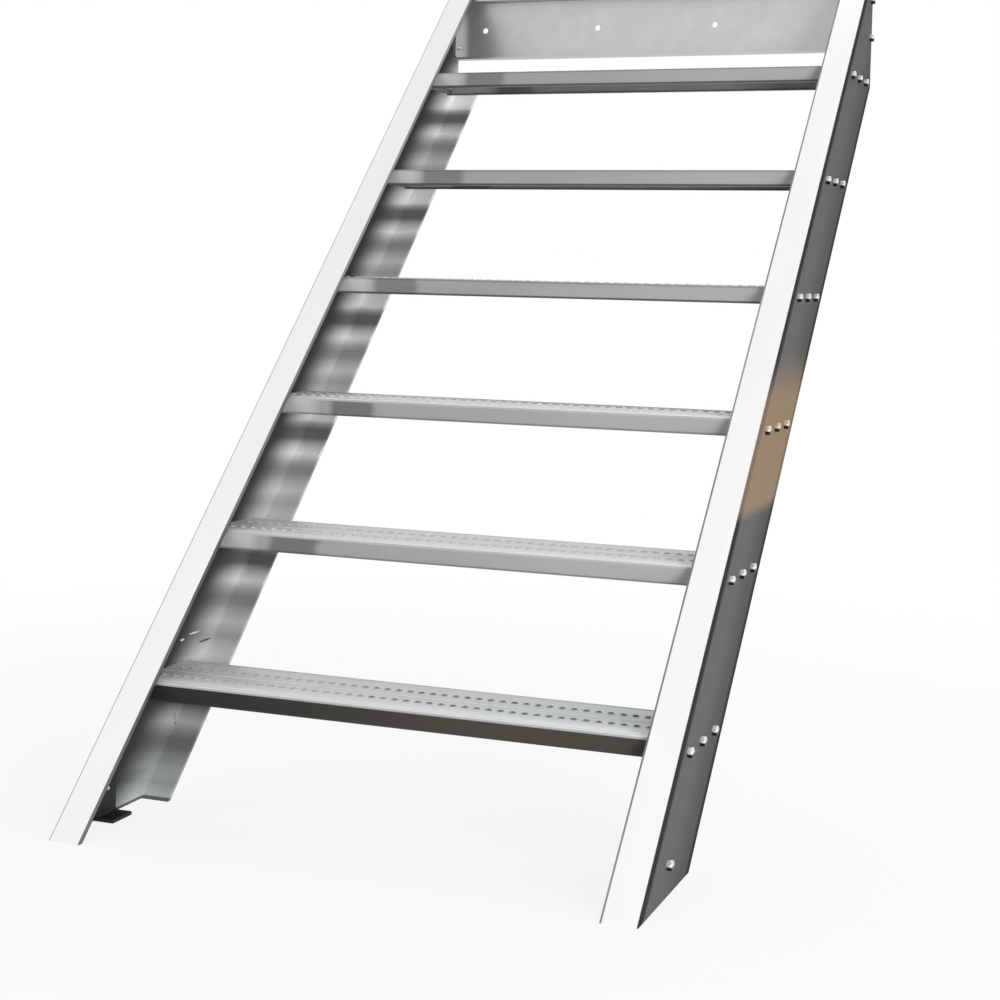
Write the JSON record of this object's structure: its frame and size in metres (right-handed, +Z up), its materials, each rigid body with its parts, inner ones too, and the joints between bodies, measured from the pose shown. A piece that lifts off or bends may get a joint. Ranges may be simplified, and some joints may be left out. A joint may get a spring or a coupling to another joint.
{
  "type": "aluminium stair",
  "caption": "Straight open-riser stair of folded perforated planks bolted between two inclined channel stringers, on angle feet, with a fixing rail at the top.",
  "frame": {"origin": "middle of the fixing rail's back face, which bears on the edge of the landing", "axes": "+Z up, +Y the way the stair rises, towards the landing, +X to the right of a person who climbs it"},
  "size_m": [0.85, 1.4335, 1.386],
  "materials": {
    "stringer": "mill finish extrusion",
    "tread": "folded sheet, satin",
    "end_plate": "cut plate",
    "foot": "black powder coat",
    "fixing_rail": "folded sheet, satin",
    "screw": "zinc plated"
  },
  "bodies": {
    "root": {"fixing_rail": "fixing_rail", "left_end_plate_1": "end_plate", "left_end_plate_2": "end_plate", "left_end_plate_3": "end_plate", "left_end_plate_4": "end_plate", "left_end_plate_5": "end_plate", "left_end_plate_6": "end_plate", "left_foot": "foot", "left_rail_cleat": "end_plate", "left_stringer": "stringer", "right_end_plate_1": "end_plate", "right_end_plate_2": "end_plate", "right_end_plate_3": "end_plate", "right_end_plate_4": "end_plate", "right_end_plate_5": "end_plate", "right_end_plate_6": "end_plate", "right_foot": "foot", "right_rail_cleat": "end_plate", "right_stringer": "stringer", "tread_1": "tread", "tread_2": "tread", "tread_3": "tread", "tread_4": "tread", "tread_5": "tread", "tread_6": "tread"}
  },
  "joints": []
}
